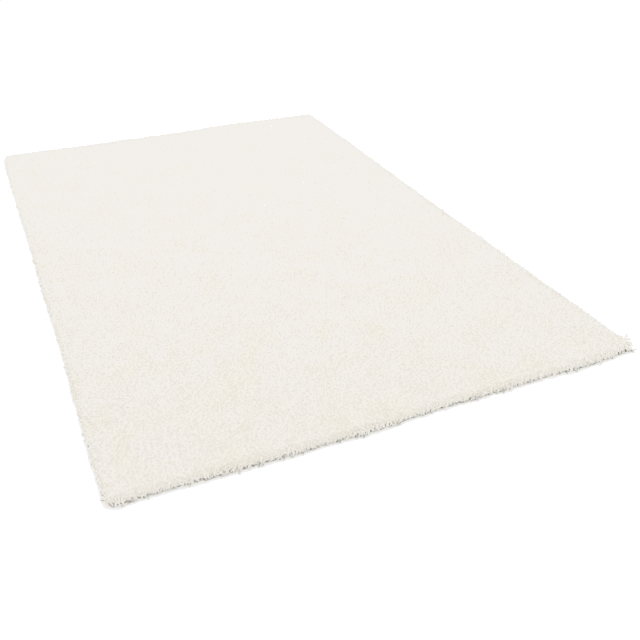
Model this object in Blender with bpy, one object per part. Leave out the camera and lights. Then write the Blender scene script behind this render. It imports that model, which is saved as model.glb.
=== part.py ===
"""Shag rug, 160 x 240 cm, for a Blender text editor or blender --background --python part.py.

Two solids make it. The backing is the flat woven cloth that lies on the floor. The pile is
the slab of yarn tufted into it: a lumpy top, a rolled rim, and a row of locks that hang out
over the edge of the backing and rest on the floor.

Metres, +Z up. X runs along the short sides and Y along the long sides, and the origin is on
the floor under the middle. The front is at -Y.
"""

import math
import random
from collections import namedtuple

import bmesh
import bpy
import numpy as np
from mathutils import Vector, noise

# Plan of the rug
WIDTH = 1.600
LENGTH = 2.400
CORNER_RADIUS = 0.022

# Heights above the floor
BACKING_THICKNESS = 0.0022
GAP = 0.0003
PILE_HEIGHT = 0.0270

# The backing's edge lies this far inside the plan, and shows between the locks.
BACKING_INSET = 0.002
BACKING_STEP = 0.080

# The pile's profile at its rim, as distance outside the plan and share of the pile's height
RimPoint = namedtuple("RimPoint", "outside share")
CROWN = RimPoint(-0.018, 1.00)
SHOULDER = RimPoint(-0.005, 0.80)
BELLY = RimPoint(0.000, 0.42)
FOOT = RimPoint(-0.005, 0.00)

# Lumps of the top: the broad ones as (size, rise), and the height and place of single tufts
CELLS_ACROSS = 30
CELLS_ALONG = 45
LUMPS = ((0.300, 0.0020), (0.120, 0.0024))
TUFT_JITTER = 0.0022
PLAN_JITTER = 0.010

# Each cell of the rim is parted into this many stations, and every other one may grow a lock.
STATIONS = 4
STATION_JITTER = 0.0026
BARE_SHARE = 0.05
SEED = 41

# How far the locks of a side reach outside the plan: (shortest, longest)
REACH = {
    "front": (0.006, 0.019),
    "back": (0.005, 0.015),
    "left": (0.003, 0.009),
    "right": (0.003, 0.010),
}
# A lock is drawn out from the rim in two sections, its middle and its tip. Each says how much
# of the reach it has, its share of the root's width and height, the angle below level at
# which the yarn runs there, in degrees, and how high it hangs over the floor.
Section = namedtuple("Section", "out width height fall lift")
LOCK = (Section(0.66, 0.86, 0.80, 38, 0.0088), Section(1.00, 0.48, 0.50, 62, 0.0))
LOCK_LEAN = 0.0045
LOCK_SWELL = (0.80, 1.15)
TIP_CLEARANCE = 0.0004

# One clump of yarn is turned outwards at the front right corner.
CLUMP = (Section(0.66, 1.25, 0.95, 25, 0.0060), Section(1.00, 1.05, 0.60, 20, 0.0))
CLUMP_NEAR = (0.800, -1.178)
CLUMP_REACH = 0.032

# How a side wanders from its straight line: (place along the side, distance outwards)
FRONT_WANDER = (
    (-0.78, -0.001),
    (-0.65, -0.003),
    (-0.50, 0.000),
    (-0.34, 0.005),
    (-0.06, 0.006),
    (0.12, -0.002),
    (0.45, -0.001),
    (0.62, 0.003),
    (0.74, -0.004),
    (0.80, -0.012),
)
BACK_WANDER = (
    (-0.80, 0.008),
    (-0.66, 0.003),
    (-0.45, -0.004),
    (-0.16, -0.002),
    (0.04, -0.007),
    (0.20, 0.002),
    (0.35, 0.011),
    (0.50, -0.001),
    (0.80, -0.004),
)
LEFT_WANDER = (
    (-1.20, -0.001),
    (-0.95, 0.002),
    (-0.55, -0.004),
    (-0.10, 0.000),
    (0.22, -0.002),
    (0.60, 0.002),
    (1.00, 0.003),
    (1.20, 0.001),
)
RIGHT_WANDER = (
    (-1.20, 0.003),
    (-0.68, -0.002),
    (-0.50, 0.001),
    (-0.10, -0.003),
    (0.40, 0.000),
    (0.80, 0.004),
    (1.20, 0.001),
)

# Linear colours of the two materials
IVORY_YARN = (0.83, 0.80, 0.72)
JUTE_CLOTH = (0.33, 0.27, 0.20)


def clear_scene():
    for found in list(bpy.data.objects):
        bpy.data.objects.remove(found, do_unlink=True)


def collection_for_rug():
    made = bpy.data.collections.new("Shag rug")
    bpy.context.scene.collection.children.link(made)
    return made


def plain_material(name, colour, roughness):
    material = bpy.data.materials.new(name)
    material.use_nodes = True
    shader = material.node_tree.nodes["Principled BSDF"]
    shader.inputs["Base Color"].default_value = (*colour, 1.0)
    shader.inputs["Roughness"].default_value = roughness
    shader.inputs["Metallic"].default_value = 0.0
    return material


def wander(table, place):
    places, distances = zip(*table)
    return float(np.interp(place, places, distances))


def wandered(x, y):
    """Where a point of the straight-sided plan lies on the real rug."""
    across, along = x / WIDTH + 0.5, y / LENGTH + 0.5
    moved_x = across * wander(RIGHT_WANDER, y) - (1 - across) * wander(LEFT_WANDER, y)
    moved_y = along * wander(BACK_WANDER, x) - (1 - along) * wander(FRONT_WANDER, x)
    return x + moved_x, y + moved_y


def outside_plan(x, y):
    """(distance outside the round-cornered plan, outward direction) at a point near its edge."""
    over_x = abs(x) - (WIDTH / 2 - CORNER_RADIUS)
    over_y = abs(y) - (LENGTH / 2 - CORNER_RADIUS)
    if over_x > 0 and over_y > 0:
        length = math.hypot(over_x, over_y)
        way = Vector((over_x / length, over_y / length, 0))
        distance = length - CORNER_RADIUS
    elif over_x > over_y:
        way, distance = Vector((1, 0, 0)), over_x - CORNER_RADIUS
    else:
        way, distance = Vector((0, 1, 0)), over_y - CORNER_RADIUS
    return distance, Vector((math.copysign(way.x, x), math.copysign(way.y, y), 0))


def move_to_rim(vertex, rim_point, height):
    """Moves a point of the rim straight out or in, and up or down, to its place in the profile."""
    distance, way = outside_plan(vertex.co.x, vertex.co.y)
    vertex.co += way * (rim_point.outside - distance)
    underside = BACKING_THICKNESS + GAP
    vertex.co.z = underside + rim_point.share * (height - underside)


def lumpy_height(x, y, rng):
    height = PILE_HEIGHT + rng.uniform(-TUFT_JITTER, TUFT_JITTER)
    for size, rise in LUMPS:
        height += rise * noise.noise(Vector((x / size, y / size, size)))
    return height


def top_of_pile(mesh, rng):
    """The lumpy top, out to the crown line inside the rim."""
    bmesh.ops.create_grid(mesh, x_segments=CELLS_ACROSS, y_segments=CELLS_ALONG, size=1.0)
    for vertex in mesh.verts:
        vertex.co.x *= WIDTH / 2 + CROWN.outside
        vertex.co.y *= LENGTH / 2 + CROWN.outside
        if vertex.is_boundary:
            move_to_rim(vertex, CROWN, lumpy_height(vertex.co.x, vertex.co.y, rng))
        else:
            vertex.co.x += rng.uniform(-PLAN_JITTER, PLAN_JITTER)
            vertex.co.y += rng.uniform(-PLAN_JITTER, PLAN_JITTER)
            vertex.co.z = lumpy_height(vertex.co.x, vertex.co.y, rng)


def extrude_rim(mesh):
    """Extrudes the open edge of the mesh, and gives the new open edges and their points."""
    edges = [e for e in mesh.edges if e.is_boundary]
    made = bmesh.ops.extrude_edge_only(mesh, edges=edges)["geom"]
    points = [g for g in made if isinstance(g, bmesh.types.BMVert)]
    edges = [g for g in made if isinstance(g, bmesh.types.BMEdge) and g.is_boundary]
    return edges, points


def part_shoulder(mesh, edges, rng):
    """Parts each edge of the shoulder into its stations, a little unevenly."""
    parted = bmesh.ops.subdivide_edges(mesh, edges=edges, cuts=STATIONS - 1)
    for vertex in (g for g in parted["geom_inner"] if isinstance(g, bmesh.types.BMVert)):
        _, way = outside_plan(vertex.co.x, vertex.co.y)
        aside = Vector((-way.y, way.x, 0))
        vertex.co += aside * rng.uniform(-STATION_JITTER, STATION_JITTER)
        move_to_rim(vertex, SHOULDER, lumpy_height(vertex.co.x, vertex.co.y, rng))


def rim_of_pile(mesh, rng):
    """Rolls the rim down to the backing, and gives the faces that locks may grow from."""
    edges, points = extrude_rim(mesh)
    for vertex in points:
        move_to_rim(vertex, SHOULDER, lumpy_height(vertex.co.x, vertex.co.y, rng))
    part_shoulder(mesh, edges, rng)
    above = set(mesh.faces)
    _, points = extrude_rim(mesh)
    for vertex in points:
        move_to_rim(vertex, BELLY, PILE_HEIGHT)
    walls = [f for f in mesh.faces if f not in above]
    _, points = extrude_rim(mesh)
    for vertex in points:
        move_to_rim(vertex, FOOT, PILE_HEIGHT)
    return sorted(walls, key=bearing)


def bearing(face):
    """The direction of a rim face from the middle of the rug, which puts the faces in order."""
    centre = face.calc_center_median()
    return math.atan2(centre.y / LENGTH, centre.x / WIDTH)


def side_of(way):
    if abs(way.y) > abs(way.x):
        return "front" if way.y < 0 else "back"
    return "left" if way.x < 0 else "right"


def measure_root(face, root, aside):
    """Each point of a lock's root as (how far to the side, how far up the face) of its middle."""
    measures = []
    for vertex in face.verts:
        arm = vertex.co - root
        sideways = arm.dot(aside)
        upwards = math.copysign((arm - aside * sideways).length, arm.z)
        measures.append((sideways, upwards))
    return measures


def grow_lock(mesh, face, sections, reach, lean, swell):
    """Draws a face of the rim out into a four-sided lock whose tip rests on the floor."""
    root = face.calc_center_median()
    distance, way = outside_plan(root.x, root.y)
    aside = Vector((-way.y, way.x, 0))
    measures = measure_root(face, root, aside)
    half_height = max(upwards for _, upwards in measures)
    for section in sections:
        face = bmesh.ops.extrude_discrete_faces(mesh, faces=[face])["faces"][0]
        fall = math.radians(section.fall)
        up_lock = way * math.sin(fall) + Vector((0, 0, math.cos(fall)))
        lower_edge = half_height * section.height * math.cos(fall)
        middle = root + way * (reach * section.out - distance) + aside * lean * section.out
        middle.z = TIP_CLEARANCE + lower_edge + section.lift
        for vertex, (sideways, upwards) in zip(face.verts, measures):
            across = aside * sideways * section.width * swell
            vertex.co = middle + across + up_lock * upwards * section.height


def locks_of_pile(mesh, walls, rng):
    """Grows a lock from every other station of the rim, and the clump that is turned out."""
    centres = [face.calc_center_median() for face in walls]
    corner = Vector(CLUMP_NEAR)
    clump = min(range(len(walls)), key=lambda i: (centres[i].xy - corner).length)
    for index, face in enumerate(walls):
        _, way = outside_plan(*centres[index].xy)
        reach = rng.uniform(*REACH[side_of(way)])
        lean = rng.uniform(-LOCK_LEAN, LOCK_LEAN)
        swell = rng.uniform(*LOCK_SWELL)
        bare = rng.random() < BARE_SHARE
        if index == clump:
            grow_lock(mesh, face, CLUMP, CLUMP_REACH, 0.0, 1.0)
        elif index % 2 == 0 and not bare and abs(index - clump) > 1:
            grow_lock(mesh, face, LOCK, reach, lean, swell)


def close_bottom(mesh):
    edges = [e for e in mesh.edges if e.is_boundary]
    bmesh.ops.contextual_create(mesh, geom=edges)


def object_from(mesh, name, material, collection):
    bmesh.ops.recalc_face_normals(mesh, faces=mesh.faces)
    data = bpy.data.meshes.new(name)
    mesh.to_mesh(data)
    mesh.free()
    data.materials.append(material)
    data.shade_smooth()
    made = bpy.data.objects.new(name, data)
    collection.objects.link(made)
    return made


def make_pile(collection):
    """The slab of yarn: lumpy top, rolled rim, flat underside and the locks of the rim."""
    rng = random.Random(SEED)
    mesh = bmesh.new()
    top_of_pile(mesh, rng)
    walls = rim_of_pile(mesh, rng)
    locks_of_pile(mesh, walls, rng)
    close_bottom(mesh)
    for vertex in mesh.verts:
        vertex.co.x, vertex.co.y = wandered(vertex.co.x, vertex.co.y)
    yarn = plain_material("Ivory pile yarn", IVORY_YARN, 0.95)
    return object_from(mesh, "pile", yarn, collection)


def backing_outline():
    """Points round the backing's edge, on the wandering plan."""
    half_x, half_y = WIDTH / 2 - BACKING_INSET, LENGTH / 2 - BACKING_INSET
    radius = CORNER_RADIUS - BACKING_INSET
    runs = []
    for turn, (sign_x, sign_y) in enumerate(((1, 1), (-1, 1), (-1, -1), (1, -1))):
        for step in range(4):
            angle = math.radians(90 * turn + 30 * step)
            x = sign_x * (half_x - radius) + radius * math.cos(angle)
            y = sign_y * (half_y - radius) + radius * math.sin(angle)
            runs.append((x, y))
    outline = []
    for start, end in zip(runs, runs[1:] + runs[:1]):
        pieces = max(1, round(math.dist(start, end) / BACKING_STEP))
        for piece in range(pieces):
            share = piece / pieces
            x = start[0] + (end[0] - start[0]) * share
            y = start[1] + (end[1] - start[1]) * share
            outline.append(wandered(x, y))
    return outline


def make_backing(collection):
    """The woven cloth that carries the pile, flat on the floor."""
    mesh = bmesh.new()
    points = [mesh.verts.new((x, y, 0)) for x, y in backing_outline()]
    face = mesh.faces.new(points)
    raised = bmesh.ops.extrude_face_region(mesh, geom=[face])["geom"]
    for part in raised:
        if isinstance(part, bmesh.types.BMVert):
            part.co.z = BACKING_THICKNESS
    cloth = plain_material("Woven jute backing", JUTE_CLOTH, 0.9)
    made = object_from(mesh, "backing", cloth, collection)
    made.data.shade_flat()
    return made


def centre_on_origin(parts):
    """Moves the rug so that the origin is under the middle of its box."""
    corners = [v.co for part in parts for v in part.data.vertices]
    middle_x = (min(c.x for c in corners) + max(c.x for c in corners)) / 2
    middle_y = (min(c.y for c in corners) + max(c.y for c in corners)) / 2
    for part in parts:
        part.location = (-middle_x, -middle_y, 0)


def main():
    clear_scene()
    collection = collection_for_rug()
    parts = [make_pile(collection), make_backing(collection)]
    centre_on_origin(parts)


main()
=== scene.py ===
"""Ivory shag rug, 160 x 240 cm: the yarn of its pile, its ragged rim and its woven backing.

Laid out as an add-on and run as a script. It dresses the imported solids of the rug, which are
loaded first and never moved: the backing keeps its solid and gets its weave, and the pile's
solid is stood for by a ground of short yarn, by locks all over the top and by longer ones
that hang over the rim to the floor.

Metres, +Z up. X runs along the short sides and Y along the long sides, the front is at -Y,
and the floor is at Z = 0.
"""

import math
from collections import namedtuple

import bpy
import numpy as np
from bpy.props import FloatProperty, FloatVectorProperty, IntProperty, PointerProperty
from bpy.types import Operator, Panel, PropertyGroup
from mathutils import Matrix, Vector, noise
from mathutils.bvhtree import BVHTree


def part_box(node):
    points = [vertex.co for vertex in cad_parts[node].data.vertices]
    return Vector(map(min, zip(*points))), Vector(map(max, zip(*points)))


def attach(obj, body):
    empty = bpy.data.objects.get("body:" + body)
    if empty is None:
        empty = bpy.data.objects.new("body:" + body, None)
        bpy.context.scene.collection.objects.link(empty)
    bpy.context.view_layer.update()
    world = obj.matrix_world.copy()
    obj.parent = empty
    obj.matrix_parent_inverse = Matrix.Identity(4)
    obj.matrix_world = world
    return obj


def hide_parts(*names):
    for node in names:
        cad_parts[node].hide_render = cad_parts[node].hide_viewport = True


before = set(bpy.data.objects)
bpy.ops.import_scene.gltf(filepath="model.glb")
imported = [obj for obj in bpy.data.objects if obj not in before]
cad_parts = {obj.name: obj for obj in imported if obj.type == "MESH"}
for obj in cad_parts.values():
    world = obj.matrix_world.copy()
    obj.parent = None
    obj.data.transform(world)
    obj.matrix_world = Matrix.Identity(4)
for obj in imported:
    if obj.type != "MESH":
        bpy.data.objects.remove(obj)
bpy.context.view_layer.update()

bl_info = {
    "name": "Shag rug",
    "version": (1, 0, 0),
    "blender": (4, 5, 0),
    "location": "3D View > Sidebar > Rug",
    "description": "Dresses the solids of a shag rug with yarn, locks and woven backing",
    "category": "Object",
}

# The plan of the rug: its straight-sided outline, and how far inside it the backing ends
WIDTH = 1.600
LENGTH = 2.400
CORNER_RADIUS = 0.022
BACKING_INSET = 0.002

# Each edge of the backing is looked up at this many places, from a start well outside it.
EDGE_PLACES = 97
FAR_OUT = 2 * LENGTH

# The ground of the pile has cells this wide, and begins a little above the backing.
GROUND_CELL = 0.015
GAP = 0.0003

# The ground's profile at the rim, as distance outside the plan and share of its height, and
# how loose the locks are there: at 0 they are nearly even, as on the top, and at 1 ragged.
RimPoint = namedtuple("RimPoint", "outside share loose")
CROWN = RimPoint(-0.018, 1.00, 0.0)
RIM = (
    RimPoint(-0.010, 0.90, 0.3),
    RimPoint(-0.004, 0.64, 1.0),
    RimPoint(-0.003, 0.34, 1.0),
    RimPoint(-0.004, 0.00, 1.0),
)

# Each strip of the ground is tufted as a piece of its own: the top from front to back, and
# the four sides. A side's length is the middling one of its locks, as a share of the rim's
# lock length, and its fall is how far they droop at the tip, as a share of that.
TOP_STRIPS = 4
UNDERSIDE = -1
Side = namedtuple("Side", "name strip length fall")
SIDES = (
    Side("front", 4, 0.47, 0.80),
    Side("right", 5, 0.29, 0.60),
    Side("back", 6, 0.37, 0.50),
    Side("left", 7, 0.28, 0.60),
)
STRIP_OF = {side.name: side.strip for side in SIDES}

# A piece with more triangles than this stops the script.
MOST_TRIANGLES = 200_000


def linear(hex_colour):
    """A linear colour from an sRGB hex value."""
    parts = (int(hex_colour[i : i + 2], 16) / 255 for i in (1, 3, 5))
    return tuple(p / 12.92 if p <= 0.04045 else ((p + 0.055) / 1.055) ** 2.4 for p in parts)


class RugYarn(PropertyGroup):
    """Sizes of the yarn"""

    nap: FloatProperty(
        name="Nap",
        description="How far the locks of the top stand over its ground",
        default=0.0026,
        unit="LENGTH",
    )
    lock_spacing: FloatProperty(
        name="Lock spacing",
        description="Least distance between the roots of two locks of the top",
        default=0.0064,
        unit="LENGTH",
    )
    lock_length: FloatProperty(
        name="Lock length",
        description="Length of a middling lock of the top",
        default=0.0080,
        unit="LENGTH",
    )
    lock_thickness: FloatProperty(
        name="Lock thickness",
        description="Thickness of a middling lock at its thickest",
        default=0.0034,
        unit="LENGTH",
    )
    rim_spacing: FloatProperty(
        name="Rim spacing",
        description="Least distance between the roots of two locks of the rim",
        default=0.0050,
        unit="LENGTH",
    )
    rim_length: FloatProperty(
        name="Rim lock length",
        description="Length of which the locks of each side are a share",
        default=0.026,
        unit="LENGTH",
    )
    rim_thickness: FloatProperty(
        name="Rim lock thickness",
        description="Thickness of a middling lock of the rim",
        default=0.0042,
        unit="LENGTH",
    )
    curl: FloatProperty(
        name="Curl",
        description="Radius of the curl of a lock of the rim",
        default=0.0026,
        unit="LENGTH",
    )
    seed: IntProperty(name="Seed", description="Chance that places the locks", default=7)


class RugColours(PropertyGroup):
    """Colours of the yarn and the backing"""

    tip: FloatVectorProperty(
        name="Lock tip",
        description="Colour of the yarn where a lock ends",
        subtype="COLOR",
        default=linear("#DAD4C8"),
    )
    root: FloatVectorProperty(
        name="Lock root",
        description="Colour of the yarn down in the pile",
        subtype="COLOR",
        default=linear("#D9D3C8"),
    )
    warm: FloatVectorProperty(
        name="Warm patch",
        description="Colour of the tips in the warmer patches of the pile",
        subtype="COLOR",
        default=linear("#D8CCB6"),
    )
    # Painted shade: yarn low by the floor is painted this dark grey, for the shade where the rim
    # meets the floor.
    low: FloatVectorProperty(
        name="Low yarn",
        description="Colour of the yarn where it lies on the floor",
        subtype="COLOR",
        default=linear("#7D7A72"),
    )
    jute: FloatVectorProperty(
        name="Jute",
        description="Colour of the threads of the backing",
        subtype="COLOR",
        default=linear("#A39C90"),
    )
    # Painted shade in the gaps between the threads of the backing.
    jute_shade: FloatVectorProperty(
        name="Jute between threads",
        description="Colour of the backing between its threads",
        subtype="COLOR",
        default=linear("#827B70"),
    )


class RugStage(PropertyGroup):
    """Floor, light and camera"""

    floor: FloatVectorProperty(
        name="Floor",
        description="Colour of the floor",
        subtype="COLOR",
        default=linear("#FCFCFC"),
    )
    sky: FloatVectorProperty(
        name="Sky",
        description="Colour and strength of the even light from all round",
        default=(1.02, 1.02, 1.02),
    )
    softbox: FloatProperty(
        name="Softbox",
        description="Power of the large lamp overhead",
        default=101.0,
        unit="POWER",
    )
    softbox_colour: FloatVectorProperty(
        name="Softbox colour",
        description="Colour of the large lamp",
        subtype="COLOR",
        default=(0.66, 0.80, 1.0),
    )


def add(tree, kind, *inputs, **settings):
    """Adds a node. Inputs go to its sockets in order, and each is a value, an output to link
    or None to leave the socket alone."""
    made = tree.nodes.new(kind)
    for name, value in settings.items():
        setattr(made, name, value)
    for socket, value in zip(made.inputs, inputs):
        if isinstance(value, bpy.types.NodeSocket):
            tree.links.new(value, socket)
        elif value is not None:
            socket.default_value = value
    return made


# Places on the rug


def edge_line(cloth, across, along, span):
    """Where an edge of the backing runs: places along it, and how far out it lies there."""
    places = np.linspace(-span, span, EDGE_PLACES)
    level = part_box("backing")[1].z / 2
    found = []
    for place in places:
        start = along * place + across * FAR_OUT + Vector((0, 0, level))
        found.append(cloth.ray_cast(start, -across)[0].dot(across))
    return places, np.array(found)


def solid_of(node):
    """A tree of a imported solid's faces, for rays."""
    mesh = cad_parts[node].data
    mesh.calc_loop_triangles()
    corners = [v.co for v in mesh.vertices]
    return BVHTree.FromPolygons(corners, [t.vertices for t in mesh.loop_triangles])


class Plan:
    """The wandering plan of the real rug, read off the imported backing."""

    def __init__(self):
        cloth = solid_of("backing")
        x, y = Vector((1, 0, 0)), Vector((0, 1, 0))
        straight_x = WIDTH / 2 - 2 * CORNER_RADIUS
        straight_y = LENGTH / 2 - 2 * CORNER_RADIUS
        self.right = edge_line(cloth, x, y, straight_y)
        self.left = edge_line(cloth, -x, y, straight_y)
        self.back = edge_line(cloth, y, x, straight_x)
        self.front = edge_line(cloth, -y, x, straight_x)

    def place(self, x, y):
        """Where a point of the straight-sided plan lies on the rug."""
        half_x, half_y = WIDTH / 2 - BACKING_INSET, LENGTH / 2 - BACKING_INSET
        across, along = (x / half_x + 1) / 2, (y / half_y + 1) / 2
        right, left = np.interp(y, *self.right), np.interp(y, *self.left)
        back, front = np.interp(x, *self.back), np.interp(x, *self.front)
        return across * right - (1 - across) * left, along * back - (1 - along) * front


def outside_plan(x, y):
    """(distance outside the round-cornered plan, outward direction) at a point near its edge."""
    over_x = abs(x) - (WIDTH / 2 - CORNER_RADIUS)
    over_y = abs(y) - (LENGTH / 2 - CORNER_RADIUS)
    if over_x > 0 and over_y > 0:
        length = math.hypot(over_x, over_y)
        way = Vector((over_x / length, over_y / length, 0))
        distance = length - CORNER_RADIUS
    elif over_x > over_y:
        way, distance = Vector((1, 0, 0)), over_x - CORNER_RADIUS
    else:
        way, distance = Vector((0, 1, 0)), over_y - CORNER_RADIUS
    return distance, Vector((math.copysign(way.x, x), math.copysign(way.y, y), 0))


# The ground of the pile


def to_rim(point, rim_point):
    """The point moved straight out or in to its distance from the edge of the plan."""
    distance, way = outside_plan(point.x, point.y)
    return point + way * (rim_point.outside - distance)


def round_edge(columns, rows):
    """The numbers of a grid's outermost points, counter-clockwise from the front left."""
    front = list(range(columns))
    right = [row * columns + columns - 1 for row in range(1, rows)]
    back = [(rows - 1) * columns + column for column in reversed(range(columns - 1))]
    left = [row * columns for row in reversed(range(1, rows - 1))]
    return front + right + back + left


def side_of(centre):
    """The strip of the rim that a place belongs to."""
    _, way = outside_plan(centre.x, centre.y)
    if abs(way.y) > abs(way.x):
        return STRIP_OF["front" if way.y < 0 else "back"]
    return STRIP_OF["left" if way.x < 0 else "right"]


# Clumps at the rim whose locks are longer or shorter than those round them, each with its
# place, how wide it is and its reach against theirs
Clump = namedtuple("Clump", "x y wide reach")
CLUMPS = (
    Clump(-0.808, -1.190, 0.018, 1.60),
    Clump(-0.770, -1.205, 0.016, 1.50),
    Clump(-0.690, -1.195, 0.020, 0.50),
    Clump(-0.512, -1.214, 0.016, 2.50),
    Clump(-0.556, -1.203, 0.012, 1.70),
    Clump(-0.420, -1.205, 0.016, 1.90),
    Clump(-0.330, -1.200, 0.020, 1.50),
    Clump(-0.240, -1.200, 0.018, 0.50),
    Clump(-0.130, -1.205, 0.022, 1.80),
    Clump(0.010, -1.200, 0.020, 0.50),
    Clump(0.130, -1.205, 0.016, 1.70),
    Clump(0.330, -1.200, 0.018, 1.60),
    Clump(0.572, -1.210, 0.012, 2.20),
    Clump(0.618, -1.207, 0.012, 1.90),
    Clump(0.670, -1.209, 0.014, 2.20),
    Clump(0.718, -1.200, 0.012, 1.70),
    Clump(0.792, -1.168, 0.017, 9.50),
    Clump(0.450, -1.200, 0.300, 0.80),
    Clump(-0.800, 1.190, 0.050, 1.35),
)


# Noises, each as the size of its lumps and how much it does: those that make the length of
# the locks uneven, and the small relief of the short yarn that makes the ground
Lumps = namedtuple("Lumps", "size amount")
UNEVEN = (Lumps(0.045, 0.55), Lumps(0.017, 0.60))
RELIEF = (Lumps(0.011, 0.0016), Lumps(0.005, 0.0008))

# The share of the unevenness that locks have where they aren't loose
EVEN_SHARE = 0.35


def lumpy(place, layers):
    """The sum of some noises at a place."""
    return sum(layer.amount * noise.noise(place / layer.size) for layer in layers)


def reach_at(place, loose):
    """How long the locks are at a place, against their middling length."""
    reach = 1 + (EVEN_SHARE + (1 - EVEN_SHARE) * loose) * lumpy(place, UNEVEN)
    for clump in CLUMPS:
        away = math.dist((clump.x, clump.y), place[:2]) / clump.wide
        reach += loose * (clump.reach - 1) * math.exp(-away * away)
    return reach


def top_grid():
    """A flat grid for the top: its points, its faces, their strips, and its outermost points."""
    columns, rows = round(WIDTH / GROUND_CELL) + 1, round(LENGTH / GROUND_CELL) + 1
    across = np.linspace(-1, 1, columns) * (WIDTH / 2 + CROWN.outside)
    along = np.linspace(-1, 1, rows) * (LENGTH / 2 + CROWN.outside)
    points = [Vector((x, y, 0)) for y in along for x in across]
    faces, strips = [], []
    for row in range(rows - 1):
        for column in range(columns - 1):
            first = row * columns + column
            faces.append((first, first + 1, first + 1 + columns, first + columns))
            strips.append(row * TOP_STRIPS // (rows - 1))
    return points, faces, strips, round_edge(columns, rows)


def ground_mesh(plan, nap):
    """The closed slab of short yarn between the roots of the locks, each face with its strip
    and each point with the reach of its locks. Its faces always come in the same order, since
    the scatter of the locks depends on it."""
    pile = solid_of("pile")
    points, faces, strips, edge = top_grid()
    for number in edge:
        points[number] = to_rim(points[number], CROWN)
    for point in points:
        x, y = plan.place(point.x, point.y)
        top = pile.ray_cast(Vector((x, y, 1)), Vector((0, 0, -1)))[0].z
        point.z = top - nap + lumpy(point, RELIEF)
    loose = [CROWN.loose] * len(points)
    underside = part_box("backing")[1].z + GAP
    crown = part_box("pile")[1].z - nap
    for rim_point in RIM:
        ring = list(range(len(points), len(points) + len(edge)))
        for number in edge:
            point = to_rim(points[number], rim_point)
            point.z = underside + rim_point.share * (crown - underside)
            points.append(point)
            loose.append(rim_point.loose)
        for near, far in zip(range(-1, len(edge) - 1), range(len(edge))):
            faces.append((edge[far], edge[near], ring[near], ring[far]))
            strips.append(side_of((points[ring[near]] + points[ring[far]]) / 2))
        edge = ring
    faces.append(tuple(reversed(edge)))
    strips.append(UNDERSIDE)
    for point in points:
        point.x, point.y = plan.place(point.x, point.y)
    made = bpy.data.meshes.new("Ground of the pile")
    made.from_pydata(points, [], faces)
    made.attributes.new("strip", "INT", "FACE").data.foreach_set("value", strips)
    reach = [reach_at(point, freedom) for point, freedom in zip(points, loose)]
    made.attributes.new("reach", "FLOAT", "POINT").data.foreach_set("value", reach)
    made.shade_smooth()
    return made


# Locks

LOCK_INPUTS = (
    ("Surface", "NodeSocketGeometry"),
    ("Strip", "NodeSocketInt"),
    ("Spacing", "NodeSocketFloat"),
    ("Length", "NodeSocketFloat"),
    ("Thickness", "NodeSocketFloat"),
    ("Rise", "NodeSocketFloat"),
    ("Bow", "NodeSocketFloat"),
    ("Fall", "NodeSocketFloat"),
    ("Curl", "NodeSocketFloat"),
    ("Turns", "NodeSocketFloat"),
    ("Strays", "NodeSocketFloat"),
    ("Rings", "NodeSocketInt"),
    ("Seed", "NodeSocketInt"),
    ("Yarn", "NodeSocketMaterial"),
)

# Roots on a square metre before the spacing thins them out
MOST_ROOTS = 90_000.0

# Seeds of the chances that make each lock its own
CHANCE_SEEDS = (11, 12)

# How locks vary, as the least and the most: their length and their bow against those of a
# middling lock, and half their thickness as a share of its whole
STRETCH = (0.72, 1.24)
BEND = (0.45, 1.25)
GIRTH = (0.40, 0.60)

# Where along a lock it has which share of its thickness: at the root, at its thickest and at
# the tip
ROOT = (0.0, 0.75)
THICKEST = (0.55, 1.0)
TIP = (1.0, 0.50)

# The higher this power, the rarer the strays. At 14 one lock in twenty is much longer than
# those round it.
RARITY = 14.0

# The lay of the pile turns over this distance. It is spread as wide as chance is, and the
# middle is that of the two together.
LAY_SIZE = 0.16
LAY_SPREAD = 2.4
LAY_MIDDLE = 1.7

# A middling lock rests this far above the floor, so that the thickest don't reach into it.
SOLE = 0.0005

# A lock's square of the bake's map: how far it goes round, and in the other direction where it
# starts, how far it runs and how far its end faces are drawn apart
MAP_ROUND = 0.45
MAP_START = 0.13
MAP_RUN = 0.74
MAP_ENDS = 0.10


def lock_roots(tree, given):
    """Scatters the roots over the strip, and keeps each one's place, way out and chances for
    its lock."""
    strip = add(tree, "GeometryNodeInputNamedAttribute", "strip", data_type="INT").outputs[0]
    here = add(
        tree,
        "FunctionNodeCompare",
        None,
        None,
        strip,
        given["Strip"],
        data_type="INT",
        operation="EQUAL",
    )
    roots = add(
        tree,
        "GeometryNodeDistributePointsOnFaces",
        given["Surface"],
        here.outputs[0],
        given["Spacing"],
        MOST_ROOTS,
        None,
        1.0,
        given["Seed"],
        distribute_method="POISSON",
    )
    kept = add(tree, "GeometryNodeCaptureAttribute", roots.outputs["Points"], domain="POINT")
    # A random vector's seed comes after six sockets that it has no use for.
    chances = [
        add(
            tree,
            "FunctionNodeRandomValue",
            (0, 0, 0),
            (1, 1, 1),
            *[None] * 6,
            seed,
            data_type="FLOAT_VECTOR",
        ).outputs[0]
        for seed in CHANCE_SEEDS
    ]
    facts = {
        "Root": add(tree, "GeometryNodeInputPosition").outputs[0],
        "Out": roots.outputs["Normal"],
        "Chance": chances[0],
        "Other Chance": chances[1],
        "Number": add(tree, "GeometryNodeInputIndex").outputs[0],
        "Reach": add(tree, "GeometryNodeInputNamedAttribute", "reach").outputs[0],
    }
    kinds = {"Number": "INT", "Reach": "FLOAT"}
    for name, value in facts.items():
        kept.capture_items.new(kinds.get(name, "VECTOR"), name)
        tree.links.new(value, kept.inputs[name])
    return kept.outputs


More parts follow.
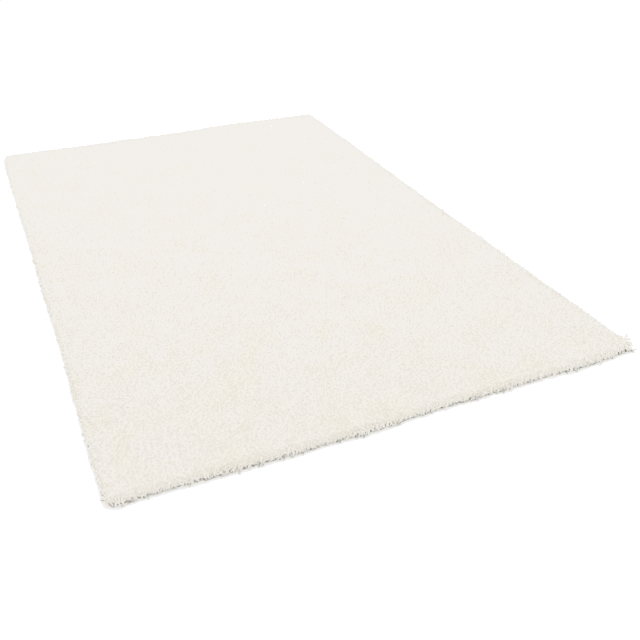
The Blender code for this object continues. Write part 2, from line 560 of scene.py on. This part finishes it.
def lock_length(tree, given, root):
    """The length of a lock: by chance, by the reach of its place, and longer for a stray."""
    chance = add(tree, "ShaderNodeSeparateXYZ", root["Chance"]).outputs["Z"]
    stretch = add(tree, "ShaderNodeMapRange", chance, 0.0, 1.0, *STRETCH).outputs[0]
    stretch = add(tree, "ShaderNodeMath", stretch, root["Reach"], operation="MULTIPLY").outputs[0]
    stray = add(tree, "ShaderNodeMath", chance, RARITY, operation="POWER").outputs[0]
    stretch = add(
        tree, "ShaderNodeMath", stray, given["Strays"], stretch, operation="MULTIPLY_ADD"
    ).outputs[0]
    return add(tree, "ShaderNodeMath", given["Length"], stretch, operation="MULTIPLY").outputs[0]


def lock_sides(tree, root):
    """The two directions square to a lock. It bows to the first, which is half chance and half
    the lay of the pile round it."""
    place = root["Root"]
    place = add(tree, "ShaderNodeVectorMath", place, None, None, 1 / LAY_SIZE, operation="SCALE")
    lay = add(tree, "ShaderNodeTexNoise", place.outputs[0], None, 1.0, 1.0).outputs["Color"]
    lean = add(
        tree,
        "ShaderNodeVectorMath",
        lay,
        (LAY_SPREAD, LAY_SPREAD, LAY_SPREAD),
        root["Chance"],
        operation="MULTIPLY_ADD",
    ).outputs[0]
    middle = (LAY_MIDDLE, LAY_MIDDLE, LAY_MIDDLE)
    way = add(tree, "ShaderNodeVectorMath", lean, middle, operation="SUBTRACT").outputs[0]
    turned = add(tree, "ShaderNodeVectorMath", root["Out"], way, operation="CROSS_PRODUCT")
    side = add(tree, "ShaderNodeVectorMath", turned.outputs[0], operation="NORMALIZE").outputs[0]
    flank = add(tree, "ShaderNodeVectorMath", root["Out"], side, operation="CROSS_PRODUCT")
    return side, flank.outputs[0]


def lock_path(tree, given, root, along):
    """Where each point of a lock lies: out from its root, bowed to a side, fallen and curled,
    and never under the floor."""
    squared = add(tree, "ShaderNodeMath", along, along, operation="MULTIPLY").outputs[0]
    other = add(tree, "ShaderNodeSeparateXYZ", root["Other Chance"]).outputs
    side, flank = lock_sides(tree, root)
    # Out: length * (along - (1 - rise) * along^2)
    drop = add(tree, "ShaderNodeMath", given["Rise"], 1.0, operation="SUBTRACT").outputs[0]
    out = add(tree, "ShaderNodeMath", squared, drop, along, operation="MULTIPLY_ADD").outputs[0]
    length = lock_length(tree, given, root)
    out = add(tree, "ShaderNodeMath", out, length, operation="MULTIPLY").outputs[0]
    # To the side and down: the middling length * along^2, times the bow or the fall
    bend = add(tree, "ShaderNodeMapRange", other["X"], 0.0, 1.0, *BEND).outputs[0]
    bow = add(tree, "ShaderNodeMath", given["Bow"], bend, operation="MULTIPLY").outputs[0]
    bow = add(tree, "ShaderNodeMath", bow, squared, operation="MULTIPLY").outputs[0]
    bow = add(tree, "ShaderNodeMath", bow, given["Length"], operation="MULTIPLY").outputs[0]
    fall = add(tree, "ShaderNodeMath", given["Fall"], squared, operation="MULTIPLY").outputs[0]
    fall = add(tree, "ShaderNodeMath", fall, given["Length"], operation="MULTIPLY").outputs[0]
    # The curl is a turn round the lock's own line, which starts at any angle.
    start = add(tree, "ShaderNodeMath", other["Y"], math.tau, operation="MULTIPLY").outputs[0]
    turn = add(tree, "ShaderNodeMath", given["Turns"], math.tau, operation="MULTIPLY").outputs[0]
    angle = add(tree, "ShaderNodeMath", along, turn, start, operation="MULTIPLY_ADD").outputs[0]
    swings = []
    for operation in ("COSINE", "SINE"):
        now = add(tree, "ShaderNodeMath", angle, operation=operation).outputs[0]
        first = add(tree, "ShaderNodeMath", start, operation=operation).outputs[0]
        swing = add(tree, "ShaderNodeMath", now, first, operation="SUBTRACT").outputs[0]
        swing = add(tree, "ShaderNodeMath", swing, given["Curl"], operation="MULTIPLY")
        swings.append(swing.outputs[0])
    sideways = add(tree, "ShaderNodeMath", bow, swings[0], operation="ADD").outputs[0]
    point = root["Root"]
    for way, distance in ((root["Out"], out), (side, sideways), (flank, swings[1])):
        moved = add(tree, "ShaderNodeVectorMath", way, distance, point, operation="MULTIPLY_ADD")
        point = moved.outputs[0]
    x, y, z = add(tree, "ShaderNodeSeparateXYZ", point).outputs
    z = add(tree, "ShaderNodeMath", z, fall, operation="SUBTRACT").outputs[0]
    # The lock's line stays half a middling thickness above where it rests.
    thickness = given["Thickness"]
    rest = add(tree, "ShaderNodeMath", thickness, 0.5, SOLE, operation="MULTIPLY_ADD").outputs[0]
    z = add(tree, "ShaderNodeMath", z, rest, operation="MAXIMUM").outputs[0]
    return add(tree, "ShaderNodeCombineXYZ", x, y, z).outputs[0]


def lock_girth(tree, given, root, along):
    """Half the thickness of a lock along its length: slim at the root and drawn in at the tip."""
    other = add(tree, "ShaderNodeSeparateXYZ", root["Other Chance"]).outputs
    swell = add(tree, "ShaderNodeMapRange", other["Z"], 0.0, 1.0, *GIRTH).outputs[0]
    girth = add(tree, "ShaderNodeMath", given["Thickness"], swell, operation="MULTIPLY").outputs[0]
    shape = add(tree, "ShaderNodeFloatCurve", 1.0, along)
    points = shape.mapping.curves[0].points
    points[0].location, points[1].location = ROOT, TIP
    points.new(*THICKEST)
    shape.mapping.update()
    return add(tree, "ShaderNodeMath", girth, shape.outputs[0], operation="MULTIPLY").outputs[0]


def bake_places(tree, root, count, along, ring):
    """A square of the bake's map for each lock: round it in one direction, along it in the
    other. The ring's second direction keeps the end faces open on the map."""
    columns = add(tree, "ShaderNodeMath", count, 0.5, operation="POWER").outputs[0]
    columns = add(tree, "ShaderNodeMath", columns, operation="CEIL").outputs[0]
    column = add(tree, "ShaderNodeMath", root["Number"], columns, operation="MODULO").outputs[0]
    row = add(tree, "ShaderNodeMath", root["Number"], columns, operation="DIVIDE").outputs[0]
    row = add(tree, "ShaderNodeMath", row, operation="FLOOR").outputs[0]
    around, deep, _ = add(tree, "ShaderNodeSeparateXYZ", ring).outputs
    around = add(tree, "ShaderNodeMath", around, MAP_ROUND, 0.5, operation="MULTIPLY_ADD").outputs[0]
    upward = add(tree, "ShaderNodeMath", along, MAP_RUN, MAP_START, operation="MULTIPLY_ADD")
    upward = add(
        tree, "ShaderNodeMath", deep, MAP_ENDS, upward.outputs[0], operation="MULTIPLY_ADD"
    ).outputs[0]
    u = add(tree, "ShaderNodeMath", column, around, operation="ADD").outputs[0]
    v = add(tree, "ShaderNodeMath", row, upward, operation="ADD").outputs[0]
    place = add(tree, "ShaderNodeCombineXYZ", u, v).outputs[0]
    scale = add(tree, "ShaderNodeMath", 1.0, columns, operation="DIVIDE").outputs[0]
    return add(tree, "ShaderNodeVectorMath", place, None, None, scale, operation="SCALE").outputs[0]


def lock_tree():
    """Locks of yarn that grow from one strip of a surface."""
    tree = bpy.data.node_groups.new("Locks of yarn", "GeometryNodeTree")
    for name, kind in LOCK_INPUTS:
        tree.interface.new_socket(name, in_out="INPUT", socket_type=kind)
    tree.interface.new_socket("Locks", in_out="OUTPUT", socket_type="NodeSocketGeometry")
    given = add(tree, "NodeGroupInput").outputs
    root = lock_roots(tree, given)
    line = add(tree, "GeometryNodeCurvePrimitiveLine").outputs[0]
    line = add(tree, "GeometryNodeResampleCurve", line, None, given["Rings"]).outputs[0]
    locks = add(tree, "GeometryNodeInstanceOnPoints", root["Geometry"], None, line).outputs[0]
    locks = add(tree, "GeometryNodeRealizeInstances", locks).outputs[0]
    factor = add(tree, "GeometryNodeSplineParameter").outputs["Factor"]
    locks = add(tree, "GeometryNodeStoreNamedAttribute", locks, None, "along", factor).outputs[0]
    along = add(tree, "GeometryNodeInputNamedAttribute", "along").outputs[0]
    tint = add(tree, "ShaderNodeSeparateXYZ", root["Other Chance"]).outputs["Z"]
    locks = add(tree, "GeometryNodeStoreNamedAttribute", locks, None, "tint", tint).outputs[0]
    path = lock_path(tree, given, root, along)
    locks = add(tree, "GeometryNodeSetPosition", locks, None, path).outputs[0]
    ring = add(tree, "GeometryNodeCurvePrimitiveCircle", 3, None, None, None, 1.0).outputs[0]
    ring = add(tree, "GeometryNodeCaptureAttribute", ring, domain="POINT")
    ring.capture_items.new("VECTOR", "Place")
    tree.links.new(add(tree, "GeometryNodeInputPosition").outputs[0], ring.inputs["Place"])
    girth = lock_girth(tree, given, root, along)
    locks = add(tree, "GeometryNodeCurveToMesh", locks, ring.outputs[0], girth, True).outputs[0]
    locks = add(tree, "GeometryNodeSetShadeSmooth", locks).outputs[0]
    count = add(tree, "GeometryNodeAttributeDomainSize", root["Geometry"], component="POINTCLOUD")
    places = bake_places(tree, root, count.outputs["Point Count"], along, ring.outputs["Place"])
    locks = add(
        tree,
        "GeometryNodeStoreNamedAttribute",
        locks,
        None,
        "OFBake",
        places,
        data_type="FLOAT2",
        domain="CORNER",
    ).outputs[0]
    locks = add(tree, "GeometryNodeRealizeInstances", locks).outputs[0]
    locks = add(tree, "GeometryNodeSetMaterial", locks, None, given["Yarn"]).outputs[0]
    add(tree, "NodeGroupOutput", locks)
    return tree


def grown(name, surface, inputs):
    """A plain mesh object of the locks that grow from a surface."""
    tree = bpy.data.node_groups.get("Locks of yarn") or lock_tree()
    made = bpy.data.objects.new(name, surface)
    bpy.context.scene.collection.objects.link(made)
    modifier = made.modifiers.new("Locks", "NODES")
    modifier.node_group = tree
    for socket in tree.interface.items_tree:
        if socket.name in inputs:
            modifier[socket.identifier] = inputs[socket.name]
    graph = bpy.context.evaluated_depsgraph_get()
    mesh = bpy.data.meshes.new_from_object(
        made.evaluated_get(graph), preserve_all_data_layers=True, depsgraph=graph
    )
    made.modifiers.clear()
    made.data = mesh
    mesh.name = name
    triangles = sum(len(face.vertices) - 2 for face in mesh.polygons)
    if not 0 < triangles < MOST_TRIANGLES:
        raise RuntimeError(f"{name} has {triangles} triangles")
    print("LOCKS", name, triangles)
    return made


# Materials

# Real sizes of the patterns: warm patches of the pile, cut ends of yarn, the distance between
# threads of the backing, and the slubs in them
PATCH_SIZE = 0.11
CUT_END = 0.0045
THREAD_PITCH = 0.0032
SLUB_LENGTH = 0.012

# Fibres are 0.03 mm thick. They are drawn as strands of 1.2 mm, so that they show.
STRAND = 0.0012

# Between its factor and its two colours, a Mix node has sockets for other kinds of value.
OTHERS = (None,) * 5

# The share of the warm tone in the warmest patches, how bright locks are against each other,
# and how much painted shade darkens the joints between cut ends
WARMEST = 0.7
TINT = (0.985, 1.01)
JOINT_PAINTED_SHADE = 0.14

# Painted shade on yarn low by the floor: below the first height it is as dark as it gets, and above
# the second there is none.
SHADE_DARKEST_BELOW = 0.003
SHADE_GONE_ABOVE = 0.012


def new_material(name):
    """A new material, its node tree and its shader."""
    material = bpy.data.materials.new(name)
    material.use_nodes = True
    return material, material.node_tree, material.node_tree.nodes["Principled BSDF"]


def yarn_material(colours):
    """Heat-set ivory yarn, curled and cut: soft matt fibres with a sheen where they turn away,
    nearly one tone from root to tip, a little warmer in patches, with painted shade in the joints of
    the ground and low by the floor."""
    material, tree, shader = new_material("Heat-set ivory yarn")
    place = add(tree, "ShaderNodeTexCoord").outputs["Object"]
    along = add(tree, "ShaderNodeAttribute", attribute_name="along").outputs["Fac"]
    tint = add(tree, "ShaderNodeAttribute", attribute_name="tint").outputs["Fac"]
    patches = add(tree, "ShaderNodeTexNoise", place, None, 1 / PATCH_SIZE, 2.0).outputs["Fac"]
    warmth = add(tree, "ShaderNodeMapRange", patches, 0.42, 0.66, 0.0, WARMEST).outputs[0]
    depth = add(tree, "ShaderNodeMapRange", along, 0.0, 0.75, 0.0, 1.0).outputs[0]
    tones = ((*colours.root, 1), (*colours.tip, 1))
    mix = add(tree, "ShaderNodeMix", depth, *OTHERS, *tones, data_type="RGBA")
    colour = mix.outputs[2]
    tones = (colour, (*colours.warm, 1))
    mix = add(tree, "ShaderNodeMix", warmth, *OTHERS, *tones, data_type="RGBA")
    colour = mix.outputs[2]
    value = add(tree, "ShaderNodeMapRange", tint, 0.0, 1.0, *TINT).outputs[0]
    colour = add(tree, "ShaderNodeHueSaturation", 0.5, 1.0, value, 1.0, colour).outputs[0]
    # Between the locks the ground shows its cut ends side by side, with painted shade in the joints
    # between them.
    cells = add(tree, "ShaderNodeTexVoronoi", place, None, 1 / CUT_END).outputs["Distance"]
    painted_joint_shade = add(tree, "ShaderNodeMapRange", cells, 0.30, 0.70, 0.0, JOINT_PAINTED_SHADE).outputs[0]
    bare = add(tree, "ShaderNodeMapRange", along, 0.0, 0.25, 1.0, 0.0).outputs[0]
    shade = add(tree, "ShaderNodeMath", painted_joint_shade, bare, operation="MULTIPLY").outputs[0]
    value = add(tree, "ShaderNodeMath", 1.0, shade, operation="SUBTRACT").outputs[0]
    colour = add(tree, "ShaderNodeHueSaturation", 0.5, 1.0, value, 1.0, colour).outputs[0]
    # Yarn that lies low by the floor is painted greyer: painted shade where the rim meets the floor.
    height = add(tree, "ShaderNodeSeparateXYZ", place).outputs["Z"]
    unshaded = add(tree, "ShaderNodeMapRange", height, SHADE_DARKEST_BELOW, SHADE_GONE_ABOVE, 0.0, 1.0).outputs[0]
    tones = ((*colours.low, 1), colour)
    mix = add(tree, "ShaderNodeMix", unshaded, *OTHERS, *tones, data_type="RGBA")
    colour = mix.outputs[2]
    tree.links.new(colour, shader.inputs["Base Color"])
    fibres = add(tree, "ShaderNodeTexNoise", place, None, 1 / STRAND, 2.0, 0.6).outputs["Fac"]
    bump = add(tree, "ShaderNodeBump", 0.2, 0.0006, None, fibres).outputs["Normal"]
    tree.links.new(bump, shader.inputs["Normal"])
    shader.inputs["Roughness"].default_value = 0.92
    shader.inputs["Specular IOR Level"].default_value = 0.25
    shader.inputs["Diffuse Roughness"].default_value = 1.0
    shader.inputs["Sheen Weight"].default_value = 0.8
    shader.inputs["Sheen Roughness"].default_value = 0.45
    return material


def jute_material(colours):
    """Plain-woven jute with a coat of size: dull brown-grey threads, with painted shade in the gaps
    between them.
    """
    material, tree, shader = new_material("Woven jute backing")
    place = add(tree, "ShaderNodeTexCoord").outputs["Object"]
    # Two sine waves cross to raise each thread in turn.
    x, y, _ = add(tree, "ShaderNodeSeparateXYZ", place).outputs
    waves = []
    for ordinate in (x, y):
        turn = math.pi / THREAD_PITCH
        angle = add(tree, "ShaderNodeMath", ordinate, turn, operation="MULTIPLY").outputs[0]
        waves.append(add(tree, "ShaderNodeMath", angle, operation="SINE").outputs[0])
    product = add(tree, "ShaderNodeMath", *waves, operation="MULTIPLY").outputs[0]
    weave = add(tree, "ShaderNodeMath", product, operation="ABSOLUTE").outputs[0]
    slubs = add(tree, "ShaderNodeTexNoise", place, None, 1 / SLUB_LENGTH, 3.0).outputs["Fac"]
    # Painted shade: the gaps between threads are darker, and the slubs vary the tone at random.
    slubs_and_gap_shade = add(tree, "ShaderNodeMath", slubs, 0.5, weave, operation="MULTIPLY_ADD").outputs[0]
    shade = add(tree, "ShaderNodeMapRange", slubs_and_gap_shade, 0.2, 1.0, 0.0, 1.0).outputs[0]
    tones = ((*colours.jute_shade, 1), (*colours.jute, 1))
    mix = add(tree, "ShaderNodeMix", shade, *OTHERS, *tones, data_type="RGBA")
    colour = mix.outputs[2]
    tree.links.new(colour, shader.inputs["Base Color"])
    bump = add(tree, "ShaderNodeBump", 0.6, 0.0008, None, weave).outputs["Normal"]
    tree.links.new(bump, shader.inputs["Normal"])
    shader.inputs["Roughness"].default_value = 0.88
    shader.inputs["Specular IOR Level"].default_value = 0.3
    return material


def yarn_of_rug():
    """The yarn, made when it is first asked for."""
    found = bpy.data.materials.get("Heat-set ivory yarn")
    return found or yarn_material(bpy.context.scene.rug_colours)


def finish_piece(piece):
    """Puts a piece of the pile on the rug's body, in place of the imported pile."""
    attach(piece, "root")
    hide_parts("pile")


# Operators


class RUG_OT_ground(Operator):
    """Lay the ground of the pile: the short yarn between the roots of the locks"""

    bl_idname = "rug.ground"
    bl_label = "Lay the ground"

    def execute(self, context):
        surface = ground_mesh(Plan(), context.scene.rug_yarn.nap)
        surface.materials.append(yarn_of_rug())
        ground = bpy.data.objects.new("pile_ground", surface)
        context.scene.collection.objects.link(ground)
        finish_piece(ground)
        return {"FINISHED"}


class RUG_OT_top(Operator):
    """Tuft the top of the pile, in strips from front to back"""

    bl_idname = "rug.top"
    bl_label = "Tuft the top"

    def execute(self, context):
        yarn = context.scene.rug_yarn
        surface = bpy.data.objects["pile_ground"].data
        for strip in range(TOP_STRIPS):
            inputs = {
                "Strip": strip,
                "Spacing": yarn.lock_spacing,
                "Length": yarn.lock_length,
                "Thickness": yarn.lock_thickness,
                "Rise": 0.60,
                "Bow": 0.5,
                "Fall": 0.0,
                "Curl": 0.0019,
                "Turns": 0.8,
                "Strays": 0.1,
                "Rings": 3,
                "Seed": yarn.seed + strip,
                "Yarn": yarn_of_rug(),
            }
            finish_piece(grown(f"pile_top_{strip + 1}", surface, inputs))
        return {"FINISHED"}


class RUG_OT_rim(Operator):
    """Hang longer locks over the rim, side by side"""

    bl_idname = "rug.rim"
    bl_label = "Hang the rim"

    def execute(self, context):
        yarn = context.scene.rug_yarn
        surface = bpy.data.objects["pile_ground"].data
        for side in SIDES:
            inputs = {
                "Strip": side.strip,
                "Spacing": yarn.rim_spacing,
                "Length": yarn.rim_length * side.length,
                "Thickness": yarn.rim_thickness,
                "Rise": 0.55,
                "Bow": 0.60,
                "Fall": side.fall,
                "Curl": yarn.curl,
                "Turns": 1.2,
                "Strays": 1.5,
                "Rings": 6,
                "Seed": yarn.seed + side.strip,
                "Yarn": yarn_of_rug(),
            }
            finish_piece(grown(f"pile_rim_{side.name}", surface, inputs))
        return {"FINISHED"}


class RUG_OT_backing(Operator):
    bl_idname = "rug.backing"
    bl_label = "Weave the backing"

    def execute(self, context):
        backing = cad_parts["backing"]
        backing.data.materials.clear()
        backing.data.materials.append(jute_material(context.scene.rug_colours))
        return {"FINISHED"}


def studio_dome(colour):
    """Soft light from all round. Past the floor's edge the camera sees plain white."""
    world = bpy.data.worlds.new("Studio dome")
    world.use_nodes = True
    tree = world.node_tree
    tree.nodes.clear()
    dome = add(tree, "ShaderNodeBackground", (*colour, 1), 1.0).outputs[0]
    white = add(tree, "ShaderNodeBackground", (1, 1, 1, 1), 1.0).outputs[0]
    seen = add(tree, "ShaderNodeLightPath").outputs["Is Camera Ray"]
    light = add(tree, "ShaderNodeMixShader", seen, dome, white).outputs[0]
    add(tree, "ShaderNodeOutputWorld", light)
    return world


# The tone curve of a bright product photograph. The pale tones lie close together below the
# white of the floor and take the ivory of the yarn, and the gaps between locks stay dark and
# grey. Scene light, and what each channel shows for it.
Tone = namedtuple("Tone", "light red green blue")
TONES = (
    Tone(0.000, 0.000, 0.000, 0.000),
    Tone(0.080, 0.230, 0.230, 0.230),
    Tone(0.160, 0.470, 0.469, 0.464),
    Tone(0.260, 0.645, 0.641, 0.624),
    Tone(0.380, 0.760, 0.742, 0.698),
    Tone(0.490, 0.814, 0.792, 0.745),
    Tone(0.580, 0.847, 0.824, 0.785),
    Tone(0.640, 0.869, 0.847, 0.813),
    Tone(0.700, 0.890, 0.867, 0.830),
    Tone(0.780, 0.894, 0.870, 0.833),
    Tone(0.920, 0.897, 0.873, 0.836),
    Tone(0.965, 1.000, 1.000, 1.000),
)


def develop(view):
    """Gives the view the tone curve."""
    view.view_transform = "Standard"
    view.use_curve_mapping = True
    view.curve_mapping.extend = "HORIZONTAL"
    for curve, channel in zip(view.curve_mapping.curves, ("red", "green", "blue")):
        shown = [(tone.light, getattr(tone, channel)) for tone in TONES]
        curve.points[0].location, curve.points[1].location = shown[0], shown[-1]
        for place in shown[1:-1]:
            curve.points.new(*place)
        for point in curve.points:
            point.handle_type = "AUTO_CLAMPED"
    view.curve_mapping.update()


# The floor, and the lamp straight over the rug
FLOOR_SIZE = 60.0
SOFTBOX_SIZE = 3.6
SOFTBOX_PLACE = (0.35, 0.65, 2.2)

# The camera from which the four edges of the rug lie as in the photograph. Angles in degrees
CAMERA_PLACE = (-0.8916, -2.5219, 1.3505)
CAMERA_AZIMUTH, CAMERA_ELEVATION, CAMERA_ROLL = -23.06, 33.22, -0.21
CAMERA_LENS, SENSOR = 42.62, 36.0
CAMERA_SHIFT = 0.040


def pale_floor(colour):
    """A wide plain floor."""
    bpy.ops.mesh.primitive_plane_add(size=FLOOR_SIZE)
    floor = bpy.context.object
    floor.name = "floor"
    material, _, shader = new_material("Plain pale floor")
    shader.inputs["Base Color"].default_value = (*colour, 1)
    shader.inputs["Roughness"].default_value = 1.0
    shader.inputs["Specular IOR Level"].default_value = 0.0
    floor.data.materials.append(material)
    return floor


def softbox(power, colour):
    """A large soft lamp straight over the rug, which the camera doesn't see."""
    lamp = bpy.data.lights.new("Softbox", "AREA")
    lamp.shape = "RECTANGLE"
    lamp.size = SOFTBOX_SIZE
    lamp.size_y = SOFTBOX_SIZE
    lamp.energy = power
    lamp.color = colour
    hung = bpy.data.objects.new("Softbox", lamp)
    hung.location = SOFTBOX_PLACE
    hung.visible_camera = False
    return hung


def camera_of_photo():
    """The camera at the photograph's angle."""
    camera = bpy.data.objects.new("Camera", bpy.data.cameras.new("Camera"))
    camera.location = CAMERA_PLACE
    turn = Matrix.Rotation(math.radians(CAMERA_AZIMUTH), 3, "Z")
    tilt = Matrix.Rotation(math.radians(90 - CAMERA_ELEVATION), 3, "X")
    roll = Matrix.Rotation(math.radians(CAMERA_ROLL), 3, "Z")
    camera.rotation_euler = (turn @ tilt @ roll).to_euler()
    camera.data.lens = CAMERA_LENS
    camera.data.sensor_width = SENSOR
    camera.data.shift_x = CAMERA_SHIFT
    return camera


class RUG_OT_stage(Operator):
    """Set up the floor, the soft light and the camera"""

    bl_idname = "rug.stage"
    bl_label = "Set the stage"

    def execute(self, context):
        stage = context.scene.rug_stage
        floor = pale_floor(stage.floor)
        context.scene.world = studio_dome(stage.sky)
        context.scene.collection.objects.link(softbox(stage.softbox, stage.softbox_colour))
        camera = camera_of_photo()
        context.scene.collection.objects.link(camera)
        bpy.context.scene.camera = camera
        develop(context.scene.view_settings)
        return {"FINISHED"}


class RUG_PT_panel(Panel):
    """Lists the steps in the order in which they are taken"""

    bl_idname = "RUG_PT_panel"
    bl_label = "Shag rug"
    bl_space_type = "VIEW_3D"
    bl_region_type = "UI"
    bl_category = "Rug"

    def draw(self, context):
        for group in ("rug_yarn", "rug_colours", "rug_stage"):
            box = self.layout.box()
            settings = getattr(context.scene, group)
            for name in settings.__annotations__:
                box.prop(settings, name)
        for step in STEPS:
            self.layout.operator(step.bl_idname)


GROUPS = {"rug_yarn": RugYarn, "rug_colours": RugColours, "rug_stage": RugStage}
STEPS = (RUG_OT_ground, RUG_OT_top, RUG_OT_rim, RUG_OT_backing, RUG_OT_stage)


def register():
    for found in (*GROUPS.values(), *STEPS, RUG_PT_panel):
        bpy.utils.register_class(found)
    for name, group in GROUPS.items():
        setattr(bpy.types.Scene, name, PointerProperty(type=group))


def unregister():
    for name in GROUPS:
        delattr(bpy.types.Scene, name)
    for found in (RUG_PT_panel, *reversed(STEPS), *GROUPS.values()):
        bpy.utils.unregister_class(found)


def main():
    register()
    bpy.ops.rug.ground()
    bpy.ops.rug.top()
    bpy.ops.rug.rim()
    bpy.ops.rug.backing()
    bpy.ops.rug.stage()


if __name__ == "__main__":
    main()
